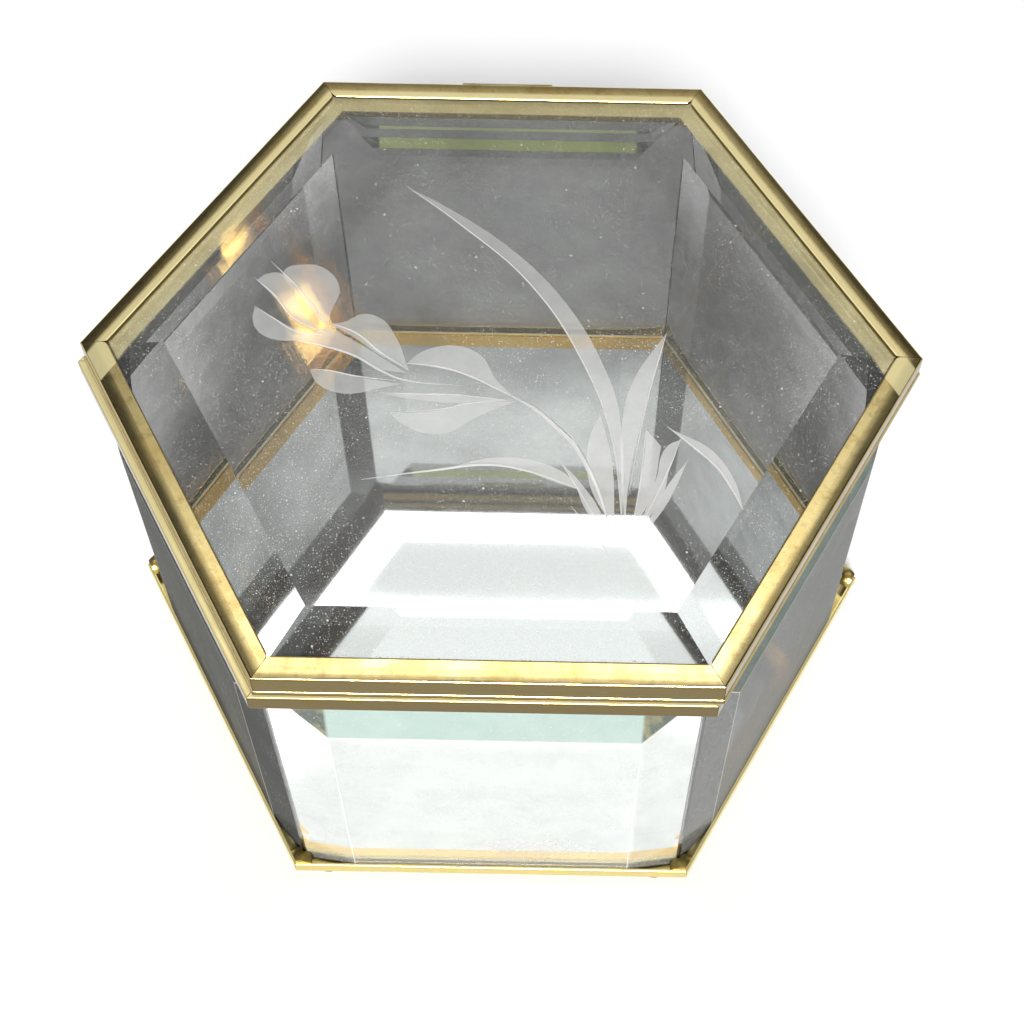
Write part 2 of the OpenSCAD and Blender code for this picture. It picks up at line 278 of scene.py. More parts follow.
def arris_highlights(mat, past_side, past_top, off_mitre):
    """Painted highlights: thin white lines where the flat meets the bevels, and the bevels each other."""
    inside_side = node(mat, "Math", {0: past_side, 1: 0.0}, operation="MAXIMUM")
    inside_top = node(mat, "Math", {0: past_top, 1: 0.0}, operation="MAXIMUM")
    flat_edge = node(mat, "Math", {0: past_side, 1: past_top}, operation="MAXIMUM")
    edge_off = node(mat, "Math", {0: flat_edge.outputs[0]}, operation="ABSOLUTE")
    mitre_off = node(mat, "Math", {0: off_mitre}, operation="ABSOLUTE")
    both = node(mat, "Math", {0: inside_side.outputs[0], 1: inside_top.outputs[0]}, operation="MULTIPLY")
    away_from_mitre = node(mat, "Math", {0: both.outputs[0], 1: NO_MITRE}, operation="LESS_THAN")
    mitre_safe = node(
        mat, "Math", {0: mitre_off.outputs[0], 1: away_from_mitre.outputs[0]}, operation="ADD"
    )
    line_off = node(mat, "Math", {0: edge_off.outputs[0], 1: mitre_safe.outputs[0]}, operation="MINIMUM")
    return node(
        mat,
        "MapRange",
        {"Value": line_off.outputs[0], "From Min": ARRIS[0], "From Max": ARRIS[1], "To Max": 0.6},
    )


def glow_strip(mat, past_top, off_mitre, out, low, high):
    """The strip of the outer top bevel, between two heights, that can carry the pane's painted glow."""
    over_flat = node(mat, "Math", {0: past_top, 1: 0.0}, operation="GREATER_THAN")
    inside_mitre = node(mat, "Math", {0: off_mitre, 1: 0.0}, operation="LESS_THAN")
    top_bevel = node(
        mat, "Math", {0: over_flat.outputs[0], 1: inside_mitre.outputs[0]}, operation="MULTIPLY"
    )
    on_outer = node(mat, "Math", {0: out, 1: -(panel_inner + BEVEL_CLEAR)}, operation="LESS_THAN")
    low_enough = node(
        mat, "MapRange", {"Value": past_top, "From Min": high + STRIP_FADE, "From Max": high}
    )
    high_enough = node(
        mat, "MapRange", {"Value": past_top, "From Min": low - STRIP_FADE, "From Max": low}
    )
    in_strip = node(
        mat, "Math", {0: low_enough.outputs[0], 1: high_enough.outputs[0]}, operation="MULTIPLY"
    )
    bevel_outside = node(
        mat, "Math", {0: top_bevel.outputs[0], 1: on_outer.outputs[0]}, operation="MULTIPLY"
    )
    return node(mat, "Math", {0: bevel_outside.outputs[0], 1: in_strip.outputs[0]}, operation="MULTIPLY")


def painted_glow_colour(mat, place, past_side, body, deep, lit_through):
    """Painted light: the glow of light held in the pane, in its own green out of its depth; by the
    mitres, the seam's dark green and olive.
    """
    beside = node(mat, "MapRange", {"Value": past_side, "From Min": -SEAM_FADE, "From Max": SEAM_FADE})
    # A swirl is about 11 mm across
    swirl = node(mat, "TexNoise", {"Vector": place, "Scale": 90.0, "Detail": 3.0, "Distortion": 2.0})
    depth = node(
        mat, "MixRGB", {"Fac": swirl.outputs["Fac"], "Color1": colour(body), "Color2": colour(deep)}
    )
    curl = node(mat, "MapRange", {"Value": swirl.outputs["Fac"], "From Min": 0.48, "From Max": 0.66})
    seam = node(
        mat,
        "MixRGB",
        {"Fac": curl.outputs[0], "Color1": colour("#34483c"), "Color2": colour("#8f8a55")},
    )
    tone = node(
        mat,
        "MixRGB",
        {"Fac": beside.outputs[0], "Color1": depth.outputs[0], "Color2": seam.outputs[0]},
    )
    sent_back = node(mat, "BsdfDiffuse", {"Color": tone.outputs[0]})
    let_through = node(mat, "BsdfTranslucent", {"Color": tone.outputs[0]})
    return node(
        mat, "MixShader", {"Fac": lit_through, 1: sent_back.outputs[0], 2: let_through.outputs[0]}
    )


def cream_light_line(mat, place, cloud, face_up, from_air):
    """How much a ragged cream line of painted light hides of the lid's pane, on top, beside the back
    rails.
    """
    reach = reach_out(mat, place, pane_middle, BACK_TURNS)
    ends, whole = (flange_edge - width for width in CREAM_ON_PANE)
    line = node(mat, "MapRange", {"Value": reach, "From Min": ends, "From Max": whole, "To Max": 0.5})
    ragged = node(
        mat,
        "MapRange",
        {"Value": cloud, "From Min": 0.25, "From Max": 0.6, "To Min": 0.6, "To Max": 1.1},
    )
    cream_line = node(
        mat,
        "Math",
        {0: line.outputs[0], 1: ragged.outputs[0]},
        operation="MULTIPLY",
        use_clamp=True,
    )
    on_top = node(mat, "Math", {0: face_up, 1: 0.5}, operation="GREATER_THAN")
    top_air = node(mat, "Math", {0: on_top.outputs[0], 1: from_air}, operation="MULTIPLY")
    return node(mat, "Math", {0: cream_line.outputs[0], 1: top_air.outputs[0]}, operation="MULTIPLY")


def float_glass(name, dust, film, film_shade_colour, film_within=0.0, turned=0.0, body=None):
    """Clear soda-lime float glass: pale green in its depth, dusty and greasy on the outside, the grease
    coloured dark as painted shade.

    A side pane's body is its painted glow's light and deep green, then its GLOW values; the lid's has
    none.
    """
    mat = new_material(name)
    where = node(mat, "TexCoord")
    place = where.outputs["Object"]
    # Only faces met from the air that look away from the box's middle carry dust
    geometry = node(mat, "NewGeometry")
    away = node(mat, "VectorMath", {0: place, 1: where.outputs["Normal"]}, operation="DOT_PRODUCT")
    # A face met from within the glass gives its normal turned round
    turned_round = node(
        mat, "MapRange", {"Value": geometry.outputs["Backfacing"], "To Min": 1.0, "To Max": -1.0}
    )
    truly_away = node(
        mat, "Math", {0: away.outputs["Value"], 1: turned_round.outputs[0]}, operation="MULTIPLY"
    )
    outward = node(mat, "Math", {0: truly_away.outputs[0], 1: 0.0}, operation="GREATER_THAN")
    from_air = node(mat, "Math", {0: 1.0, 1: geometry.outputs["Backfacing"]}, operation="SUBTRACT")
    outside = node(mat, "Math", {0: outward.outputs[0], 1: from_air.outputs[0]}, operation="MULTIPLY")
    # Haze and grease lie in clouds about 20 mm across
    clouds = node(mat, "TexNoise", {"Vector": place, "Scale": 45.0, "Detail": 6.0, "Roughness": 0.65})
    cloud = clouds.outputs["Fac"]
    cover = pane_cover(mat, place, cloud, dust)
    facing = node(mat, "LayerWeight", {"Blend": 0.5})
    glass = node(
        mat,
        "BsdfPrincipled",
        {"Base Color": (1, 1, 1, 1), "Roughness": 0.0, "IOR": 1.52, "Transmission Weight": 1.0},
    )
    clean = glass.outputs[0]
    if body:
        light, deep, past_critical, low, high, lit_through = body
        past_side, past_top, off_mitre, out = side_pane_places(mat, place, turned)
        arris = arris_highlights(mat, past_side, past_top, off_mitre)
        # The arris highlights are painted white, mixed in with the lint
        cover = node(mat, "Math", {0: cover, 1: arris.outputs[0]}, operation="MAXIMUM").outputs[0]
        # Past the critical angle the top bevel shows the pane's own green as painted light: the glow of
        # light held in the pane
        strip = glow_strip(mat, past_top, off_mitre, out, low, high)
        critical = node(
            mat,
            "MapRange",
            {"Value": geometry.outputs["Backfacing"], "To Min": 0.4, "To Max": past_critical},
        )
        past = node(
            mat, "Math", {0: facing.outputs["Facing"], 1: critical.outputs[0]}, operation="SUBTRACT"
        )
        aslant = node(mat, "MapRange", {"Value": past.outputs[0], "From Max": 0.04, "To Max": 0.9})
        green = painted_glow_colour(mat, place, past_side, light, deep, lit_through)
        painted_glow_cover = node(mat, "Math", {0: strip.outputs[0], 1: aslant.outputs[0]}, operation="MULTIPLY")
        with_painted_glow = node(mat, "MixShader", {"Fac": painted_glow_cover.outputs[0], 1: clean, 2: green.outputs[0]})
        clean = with_painted_glow.outputs[0]
    # A thin greasy film, coloured dark pane by pane as painted shade, hides more the more aslant it is
    # looked through
    cosine = node(mat, "Math", {0: 1.02, 1: facing.outputs["Facing"]}, operation="SUBTRACT")
    smeared = node(
        mat,
        "MapRange",
        {"Value": cloud, "From Min": 0.3, "From Max": 0.7, "To Min": 0.75, "To Max": 1.25},
    )
    side_film = node(
        mat,
        "MapRange",
        {"Value": geometry.outputs["Backfacing"], "To Min": film, "To Max": film_within},
    )
    film_here = node(mat, "Math", {0: side_film.outputs[0], 1: smeared.outputs[0]}, operation="MULTIPLY")
    through = node(mat, "Math", {0: film_here.outputs[0], 1: cosine.outputs[0]}, operation="DIVIDE")
    opaque = node(mat, "Math", {0: through.outputs[0], 1: 0.9}, operation="MINIMUM")
    grease_and_shade_cover = node(mat, "Math", {0: opaque.outputs[0], 1: outward.outputs[0]}, operation="MULTIPLY")
    grease_and_shade = node(mat, "BsdfDiffuse", {"Color": colour(film_shade_colour)})
    surface = node(mat, "MixShader", {"Fac": grease_and_shade_cover.outputs[0], 1: clean, 2: grease_and_shade.outputs[0]})
    if not body:
        # Painted light: a ragged cream line on top of the pane beside the back rails
        face = node(mat, "SeparateXYZ", {"Vector": where.outputs["Normal"]})
        cream_line = cream_light_line(mat, place, cloud, face.outputs["Z"], from_air.outputs[0])
        cream_light = node(mat, "BsdfDiffuse", {"Color": colour("#e6d9a2")})
        surface = node(
            mat, "MixShader", {"Fac": cream_line.outputs[0], 1: surface.outputs[0], 2: cream_light.outputs[0]}
        )
    # Lint, and on side panes the painted arris highlights, in pale white
    lint_and_highlight_cover = node(mat, "Math", {0: cover, 1: outside.outputs[0]}, operation="MULTIPLY")
    lint_and_highlight = node(mat, "BsdfDiffuse", {"Color": colour("#e6e5df")})
    surface = node(
        mat, "MixShader", {"Fac": lint_and_highlight_cover.outputs[0], 1: surface.outputs[0], 2: lint_and_highlight.outputs[0]}
    )
    # Iron in the glass: a hand's breadth of it takes about a fifth of the red
    edge_tint = node(mat, "VolumeAbsorption", {"Color": (0.4, 0.775, 0.675, 1.0), "Density": 4.0})
    node(mat, "OutputMaterial", {"Surface": surface.outputs[0], "Volume": edge_tint.outputs[0]})
    return mat


def silvered_mirror(name):
    """Silvered glass, slightly clouded, with the channel's thin brass lip turned over its edge."""
    mat = new_material(name)
    where = node(mat, "TexCoord")
    cloud = node(mat, "TexNoise", {"Vector": where.outputs["Object"], "Scale": 60.0, "Detail": 5.0})
    rough = node(mat, "MapRange", {"Value": cloud.outputs["Fac"], "To Min": 0.02, "To Max": 0.06})
    shader = node(
        mat,
        "BsdfPrincipled",
        {"Base Color": colour("#e9eeec"), "Metallic": 1.0, "Roughness": rough.outputs[0]},
    )
    place = where.outputs["Object"]
    lip_from = mirror_half - LIP_WIDTH
    reach = reach_out(mat, place, case_middle, ALL_TURNS)
    thin_side = reach_out(mat, place, case_middle, (FRONT_TURN, RIGHT_BACK_TURN))
    thin_here = node(mat, "Math", {0: thin_side, 1: lip_from}, operation="GREATER_THAN")
    narrower = node(
        mat,
        "MapRange",
        {"Value": thin_here.outputs[0], "To Min": lip_from, "To Max": lip_from + LIP_LESS},
    )
    turned_over = node(mat, "Math", {0: reach, 1: narrower.outputs[0]}, operation="GREATER_THAN")
    worn = node(
        mat,
        "MixRGB",
        {"Fac": cloud.outputs["Fac"], "Color1": colour("#ffe288"), "Color2": colour("#d8a94c")},
    )
    brass = node(
        mat, "BsdfPrincipled", {"Base Color": worn.outputs[0], "Metallic": 1.0, "Roughness": 0.2}
    )
    edged = node(
        mat, "MixShader", {"Fac": turned_over.outputs[0], 1: shader.outputs[0], 2: brass.outputs[0]}
    )
    node(mat, "OutputMaterial", {"Surface": edged.outputs[0]})
    return mat


def clear_glue(name):
    """Set clear glue between the panels' ends: glossy, slightly lumpy, yellow-green in its depth."""
    mat = new_material(name)
    where = node(mat, "TexCoord")
    lumps = node(mat, "TexNoise", {"Vector": where.outputs["Object"], "Scale": 300.0, "Detail": 3.0})
    bump = node(mat, "Bump", {"Height": lumps.outputs["Fac"], "Strength": 0.3, "Distance": 0.2 * MM})
    glue = node(
        mat,
        "BsdfPrincipled",
        {
            "Base Color": (1, 1, 1, 1),
            "Roughness": 0.08,
            "IOR": 1.49,
            "Transmission Weight": 1.0,
            "Normal": bump.outputs[0],
        },
    )
    yellowed = node(mat, "VolumeAbsorption", {"Color": colour("#7fb08a"), "Density": 40.0})
    node(mat, "OutputMaterial", {"Surface": glue.outputs[0], "Volume": yellowed.outputs[0]})
    return mat


def soft_solder(name):
    """Soft solder under a brass wash: lumpy, satin."""
    mat = new_material(name)
    where = node(mat, "TexCoord")
    lumps = node(mat, "TexNoise", {"Vector": where.outputs["Object"], "Scale": 420.0, "Detail": 4.0})
    wash = node(
        mat,
        "MixRGB",
        {"Fac": lumps.outputs["Fac"], "Color1": colour("#dcc478"), "Color2": colour("#a48c48")},
    )
    bump = node(mat, "Bump", {"Height": lumps.outputs["Fac"], "Strength": 0.6, "Distance": 0.4 * MM})
    shader = node(
        mat,
        "BsdfPrincipled",
        {
            "Base Color": wash.outputs[0],
            "Metallic": 1.0,
            "Roughness": 0.35,
            "Normal": bump.outputs[0],
        },
    )
    node(mat, "OutputMaterial", {"Surface": shader.outputs[0]})
    return mat


def finish_node(name, mat):
    """Gives a CAD node its finish."""
    nodes[name].data.materials.clear()
    nodes[name].data.materials.append(mat)


# Each frame's polished and tarnished colour, its side colour painted darker as painted shade, and its
# share of cream matt on top as painted light
RAIL_LOOKS = (
    ("lid_rail_", "#f3dd9c", "#dcc07a", "#7c6a38", 0.0),
    ("rim_rail_", "#ead08a", "#c4a660", "#75622f", 0.6),
    ("base_rail_", "#f2e08c", "#dcc070", "#e2d080", 0.35),
)
# Opposite sides run the same way, so they share a finish
OPPOSITE = len(SIDES) // 2
for kind, polished, tarnished, painted_side_shade, cream_light_share in RAIL_LOOKS:
    for turn in range(OPPOSITE):
        mat = drawn_brass(f"{kind}brass_{turn}", polished, tarnished, painted_side_shade, cream_light_share, side_angle(turn))
        finish_node(kind + SIDES[turn], mat)
        finish_node(kind + SIDES[turn + OPPOSITE], mat)

hinge_brass = drawn_brass("hinge_brass", "#e0cc8c", "#b89f5c", "#a8945c", 0.0, 0.0)
for name in ("hinge_case_knuckles", "hinge_lid_knuckle", "hinge_pin", "feet"):
    finish_node(name, hinge_brass)
LID_DUST = 0.045
SIDE_DUST = 0.02
finish_node("lid_glass", float_glass("lid_pane_glass", LID_DUST, 0.02, "#9a9a95"))
# Where a bevel carries its painted glow: the facing past which it does from within, the strip's foot and
# head above the flat, and the share of its light that comes through from behind
GLOW_BACK = (0.02, 2.6 * MM, 5.8 * MM, 0.7)
GLOW_OTHERS = (0.245, 0.0, TOP_BEVEL, 0.0)
# Each side pane's film outside, the film's colour, dark as painted shade, its painted glow's light and
# deep green, and its film inside, also painted shade
PANE_LOOKS = {
    "front": (0.15, "#a4a5a2", "#c6dad3", "#a6c4ba", 0.0),
    "front_right": (0.13, "#7a7b79", "#6f8f7c", "#2f4a3c", 0.2),
    "back_right": (0.08, "#484947", "#dfe2d6", "#b9c3b2", 0.42),
    "back": (0.08, "#484947", "#fbffa0", "#d0f080", 0.42),
    "back_left": (0.08, "#484947", "#dfe2d6", "#b9c3b2", 0.45),
    "front_left": (0.2, "#464745", "#6f8f7c", "#2f4a3c", 0.12),
}
for turn, side in enumerate(SIDES):
    film, film_shade_colour, light, deep, film_within = PANE_LOOKS[side]
    # A side pane's body carries the painted glow of its top bevel
    body = (light, deep, *(GLOW_BACK if side == "back" else GLOW_OTHERS))
    turned = side_angle(turn)
    pane = float_glass(f"side_pane_glass_{side}", SIDE_DUST, film, film_shade_colour, film_within, turned, body)
    finish_node("side_panel_" + side, pane)
finish_node("base_mirror", silvered_mirror("silvered_mirror"))
finish_node("corner_seams", clear_glue("clear_glue"))
finish_node("corner_solder", soft_solder("brass_washed_solder"))


# ---------------------------------------------------------------- wheel-cut flower spray

# Places are millimetres from the middle of the lid's pane, x to the right and y to the back.
# An outline runs round its figure, and TIP marks a sharp point.
TIP = True
LEAVES = [
    [
        (-19.6, 37.8, TIP), (-8.4, 28.1), (4.8, 14.5), (15.2, -4.3), (19.7, -18.7),
        (21.6, -38.5, TIP), (21.2, -14.0), (18.8, -4.7), (10.9, 11.2), (-0.1, 23.9), (-12.5, 33.4),
    ],
    [
        (29.9, 4.1, TIP), (23.8, -6.5), (21.8, -14.5), (21.9, -38.0, TIP), (23.1, -25.3),
        (25.9, -12.1), (28.5, -1.3),
    ],
    [
        (-23.1, -28.7, TIP), (-10.2, -26.3), (1.0, -23.5), (10.9, -25.9), (14.6, -29.9, TIP),
        (9.0, -27.9), (4.5, -26.1), (-1.5, -25.3), (-10.2, -26.5),
    ],
    [
        (17.8, -14.4, TIP), (16.2, -18.2), (15.5, -23.6), (16.4, -30.0), (20.2, -37.0, TIP),
        (20.0, -25.7), (18.8, -18.1),
    ],
    [(10.5, -23.7, TIP), (13.5, -28.7), (15.0, -33.0), (19.0, -39.5, TIP), (18.0, -34.5), (14.6, -28.6)],
    [
        (25.8, -17.1, TIP), (25.4, -23.4), (24.6, -28.7), (23.0, -38.0, TIP), (26.3, -31.4),
        (28.4, -20.6, TIP),
    ],
    [(31.9, -19.1, TIP), (29.3, -20.8), (27.4, -27.4), (24.0, -38.5, TIP), (28.6, -30.2), (29.9, -24.6)],
    [(33.0, -23.4, TIP), (29.4, -28.6), (24.6, -39.0, TIP), (28.8, -33.0)],
    [
        (29.5, -16.6, TIP), (34.1, -20.9), (38.0, -24.9), (42.1, -33.3, TIP), (40.8, -27.1),
        (36.7, -20.8), (32.3, -18.2),
    ],
]
PETALS = [
    [
        (-32.0, 4.2, TIP), (-38.9, 12.8), (-40.9, 16.7), (-37.2, 18.3), (-33.4, 17.4),
        (-30.3, 12.8), (-31.2, 8.0),
    ],
    [
        (-32.0, 2.4, TIP), (-38.6, 6.3), (-42.5, 11.0), (-45.7, 14.4, TIP), (-44.0, 15.9),
        (-41.2, 16.0), (-38.7, 12.4), (-36.4, 6.6),
    ],
    [
        (-32.0, 2.2, TIP), (-36.0, 1.0), (-40.6, 0.8), (-43.8, 2.3), (-45.4, 5.0),
        (-45.4, 8.2, TIP), (-41.4, 5.6), (-36.5, 2.9),
    ],
    [
        (-31.3, 4.6, TIP), (-28.6, 5.2), (-25.6, 7.0), (-22.4, 6.2), (-19.4, 2.4),
        (-16.4, -5.5, TIP), (-21.8, -2.1), (-26.6, 1.6),
    ],
    [
        (-31.4, 3.8, TIP), (-26.6, 0.9), (-21.5, -2.6), (-16.8, -6.0, TIP), (-21.5, -5.2),
        (-26.2, -2.2), (-37.6, 0.8, TIP),
    ],
    [
        (-34.0, -5.7, TIP), (-32.7, -8.3), (-30.1, -10.1), (-26.5, -10.7), (-21.0, -9.3),
        (-17.6, -8.4, TIP), (-25.9, -7.0), (-30.4, -6.0),
    ],
    [
        (-16.8, -4.0, TIP), (-15.0, -1.8), (-11.9, -0.2), (-8.0, 0.2), (-3.6, -1.9), (-0.9, -6.8),
        (3.1, -11.3, TIP), (-5.4, -6.5), (-10.5, -4.9),
    ],
    [
        (-21.2, -10.6, TIP), (-13.1, -11.9), (-8.0, -12.3), (3.1, -11.4, TIP), (-7.9, -10.8),
        (-14.1, -10.5),
    ],
    [
        (-19.1, -14.8, TIP), (-16.3, -17.3), (-12.7, -18.8), (-8.5, -18.4), (-4.2, -15.4),
        (3.1, -11.6, TIP), (-5.2, -12.4), (-12.0, -14.2),
    ],
]
# A cut line has its greatest width first, then the places that it runs through
CUT_LINES = [
    (0.35, [(-43.5, 18.7), (-39.2, 14.1), (-35.4, 9.6), (-32.0, 4.4)]),
    (0.35, [(-46.1, 14.7), (-42.0, 10.8), (-37.8, 5.4), (-32.0, 2.4)]),
    (0.3, [(-45.4, 8.2), (-41.4, 5.3), (-37.5, 2.7), (-32.5, 1.9)]),
    (0.55, [(-38.2, 0.9), (-31.8, -0.6), (-26.2, -2.6), (-21.5, -5.6), (-17.8, -7.4), (-6.7, -8.7)]),
    (0.4, [(-31.3, 4.6), (-26.6, 2.6), (-21.8, -1.6), (-16.4, -5.5)]),
    (0.35, [(-34.0, -5.7), (-30.4, -6.0), (-25.9, -7.0), (-18.5, -7.9)]),
    (0.45, [(-16.8, -4.0), (-10.4, -4.8), (-5.3, -6.6), (-0.9, -9.0), (3.1, -11.3)]),
    (0.3, [(-19.1, -14.8), (-10.0, -13.7), (-5.2, -12.4), (2.5, -11.6)]),
    (0.4, [(-21.2, -10.6), (-14.1, -10.6), (-7.9, -10.7), (1.0, -11.6)]),
    (
        1.0,
        [
            (1.8, -10.6), (6.1, -13.2), (10.3, -17.3), (13.3, -20.8), (15.4, -24.8), (17.3, -29.4),
            (19.8, -39.0),
        ],
    ),
    (0.35, [(-19.6, 37.8), (-8.4, 28.1), (4.8, 14.5), (15.2, -4.3), (19.7, -18.7), (21.5, -36.0)]),
    (0.3, [(29.9, 4.1), (28.5, -1.3), (25.9, -12.1), (22.6, -31.0)]),
    (0.55, [(-23.1, -28.7), (-10.2, -26.4), (-1.5, -25.2), (4.5, -26.1), (14.4, -29.8)]),
    (0.5, [(29.5, -16.6), (34.1, -20.9), (38.0, -24.9), (40.2, -28.9), (42.1, -33.3)]),
    (0.3, [(10.4, -15.6), (13.3, -20.1), (15.6, -26.6)]),
    (0.25, [(12.9, -33.3), (16.3, -37.7), (19.7, -43.4)]),
    (0.3, [(31.9, -19.1), (29.6, -25.5), (24.4, -37.6)]),
    (0.3, [(25.8, -17.1), (24.6, -28.7), (23.2, -37.0)]),
    (0.25, [(10.5, -23.7), (14.4, -30.6), (19.0, -39.5)]),
]
# The cuts are thin sheets, laid over one another a step apart
CUT_THICK = 0.01 * MM
CUT_STEP = 0.015 * MM
WELD = 0.001 * MM
CURVE_STEPS = 8
# A cut line's ends have this share of its width, and the power rules how soon it swells
CUT_ENDS = 0.12
CUT_SWELL = 0.7
# The cuts hide least as far back as this on the pane, and most as far forward as this
LEAST_COVER_AT = 20 * MM
MOST_COVER_AT = -30 * MM


def ground_glass(name, thin, full):
    """Wheel-ground glass, left matt: it scatters light, more toward the front of the pane."""
    mat = new_material(name)
    where = node(mat, "TexCoord")
    # The wheel's grit is too fine to show: this is its unevenness, every 4 mm or so
    grain = node(
        mat,
        "TexNoise",
        {"Vector": where.outputs["Object"], "Scale": 240.0, "Detail": 6.0, "Roughness": 0.6},
    )
    even = node(
        mat,
        "MapRange",
        {
            "Value": grain.outputs["Fac"],
            "From Min": 0.3,
            "From Max": 0.7,
            "To Min": 0.9,
            "To Max": 1.08,
        },
    )
    split = node(mat, "SeparateXYZ", {"Vector": where.outputs["Object"]})
    toward_front = node(
        mat,
        "MapRange",
        {
            "Value": split.outputs["Y"],
            "From Min": LEAST_COVER_AT,
            "From Max": MOST_COVER_AT,
            "To Min": thin,
            "To Max": full,
        },
    )
    # The cut is on the upper face: from below, the matt hides nothing of a bright sky
    geometry = node(mat, "NewGeometry")
    face = node(mat, "SeparateXYZ", {"Vector": where.outputs["Normal"]})
    upper = node(mat, "Math", {0: face.outputs["Z"], 1: 0.05}, operation="GREATER_THAN")
    from_air = node(
        mat,
        "Math",
        {0: upper.outputs[0], 1: geometry.outputs["Backfacing"]},
        operation="SUBTRACT",
        use_clamp=True,
    )
    ground = node(
        mat,
        "Math",
        {0: even.outputs[0], 1: toward_front.outputs[0]},
        operation="MULTIPLY",
        use_clamp=True,
    )
    cover = node(mat, "Math", {0: ground.outputs[0], 1: from_air.outputs[0]}, operation="MULTIPLY")
    clear = node(mat, "BsdfTransparent", {})
    white = node(mat, "BsdfDiffuse", {"Color": colour("#f4f4f2")})
    glow = node(mat, "BsdfTranslucent", {"Color": colour("#f4f4f2")})
    matt = node(mat, "MixShader", {"Fac": 0.35, 1: white.outputs[0], 2: glow.outputs[0]})
    surface = node(mat, "MixShader", {"Fac": cover.outputs[0], 1: clear.outputs[0], 2: matt.outputs[0]})
    node(mat, "OutputMaterial", {"Surface": surface.outputs[0]})
    return mat


def settle(name):
    """Turns the active curve into a closed mesh at the origin and returns it."""
    bpy.ops.object.convert(target="MESH")
    bpy.ops.object.transform_apply(location=True, rotation=True, scale=True)
    bpy.ops.object.mode_set(mode="EDIT")
    bpy.ops.mesh.select_all(action="SELECT")
    bpy.ops.mesh.remove_doubles(threshold=WELD)
    bpy.ops.mesh.normals_make_consistent(inside=False)
    bpy.ops.object.mode_set(mode="OBJECT")
    piece = bpy.context.object
    piece.name = name
    return piece


def cut_figure(name, outline, place):
    """A flat figure inside a smooth outline: a Bezier ring bent to it, filled and made solid."""
    bpy.ops.object.select_all(action="DESELECT")
    bpy.ops.curve.primitive_bezier_circle_add(radius=MM, location=place)
    curve = bpy.context.object.data
    curve.dimensions = "2D"
    curve.fill_mode = "BOTH"
    curve.extrude = CUT_THICK / 2
    curve.resolution_u = CURVE_STEPS
    points = curve.splines[0].bezier_points
    points.add(len(outline) - len(points))
    for point, corner in zip(points, outline):
        point.co = Vector((corner[0], corner[1], 0)) * MM
        point.handle_left_type = point.handle_right_type = "VECTOR" if corner[2:] else "AUTO"
    return settle(name)


def cut_line(name, width, path, place):
    """A line that the wheel's edge cut: thickest at its middle, fading out at its ends."""
    bpy.ops.object.select_all(action="DESELECT")
    bpy.ops.curve.primitive_bezier_curve_add(radius=MM, location=place)
    curve = bpy.context.object.data
    curve.bevel_depth = width * MM / 2
    curve.bevel_resolution = 1
    curve.resolution_u = CURVE_STEPS
    points = curve.splines[0].bezier_points
    points.add(len(path) - len(points))
    for order, (point, (x, y)) in enumerate(zip(points, path)):
        point.co = Vector((x, y, 0)) * MM
        swell = math.sin(math.pi * order / (len(path) - 1)) ** CUT_SWELL
        point.radius = CUT_ENDS + (1 - CUT_ENDS) * swell
        point.handle_left_type = point.handle_right_type = "AUTO"
    curve.use_fill_caps = True
    bpy.context.object.scale = (1, 1, CUT_THICK / (width * MM))
    return settle(name)


def joined(name, pieces, mat):
    """Joins pieces of one finish into one that rides on the lid."""
    bpy.ops.object.select_all(action="DESELECT")
    for piece in pieces:
        piece.select_set(True)
    bpy.context.view_layer.objects.active = pieces[0]
    bpy.ops.object.join()
    pieces[0].name = name
    pieces[0].data.name = name
    pieces[0].data.materials.clear()
    pieces[0].data.materials.append(mat)
    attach(pieces[0], "lid")


def above_pane(layer):
    """The middle of the lid's pane, at the height of one layer of the cuts."""
    return (pane_middle.x, pane_middle.y, pane_high[2] + layer * CUT_STEP)


layer = 0
figures = {"petals": [], "leaves": [], "lines": []}
for kind, outlines in (("petals", PETALS), ("leaves", LEAVES)):
    for outline in outlines:
        layer += 1
        figures[kind].append(cut_figure(f"{kind}_{layer}", outline, above_pane(layer)))
for width, path in CUT_LINES:
    layer += 1
    figures["lines"].append(cut_line(f"lines_{layer}", width, path, above_pane(layer)))
# How white each kind of cut is at the back of the lid and at the front
CUT_LOOKS = {"petals": (0.42, 0.5), "leaves": (0.36, 0.7), "lines": (0.85, 0.98)}
for kind, (thin, full) in CUT_LOOKS.items():
    joined("cut_" + kind, figures[kind], ground_glass("ground_" + kind, thin, full))


# ---------------------------------------------------------------- studio

FLOOR_SIZE = 60.0
bpy.ops.object.select_all(action="DESELECT")
bpy.ops.mesh.primitive_plane_add(size=FLOOR_SIZE, location=(0, 0, 0))
floor = bpy.context.object
floor.name = "studio_floor"
paper = new_material("pale_paper")
paper_where = node(paper, "TexCoord")
paper_grain = node(
    paper, "TexNoise", {"Vector": paper_where.outputs["Object"], "Scale": 3.0, "Detail": 2.0}
)
paper_tone = node(
    paper,
    "MixRGB",
    {"Fac": paper_grain.outputs["Fac"], "Color1": colour("#f7f7f7"), "Color2": colour("#f5f5f5")},
)
paper_face = node(paper, "BsdfDiffuse", {"Color": paper_tone.outputs[0]})
node(paper, "OutputMaterial", {"Surface": paper_face.outputs[0]})
floor.data.materials.append(paper)

world = bpy.data.worlds.new("studio")
bpy.context.scene.world = world
world.use_nodes = True
world.node_tree.nodes.clear()
# A direction's Y says how far back it leans and its Z how high it looks
sky_where = node(world, "TexCoord")
sky_split = node(world, "SeparateXYZ", {"Vector": sky_where.outputs["Generated"]})
sky_x, sky_y, sky_z = (sky_split.outputs[axis] for axis in "XYZ")
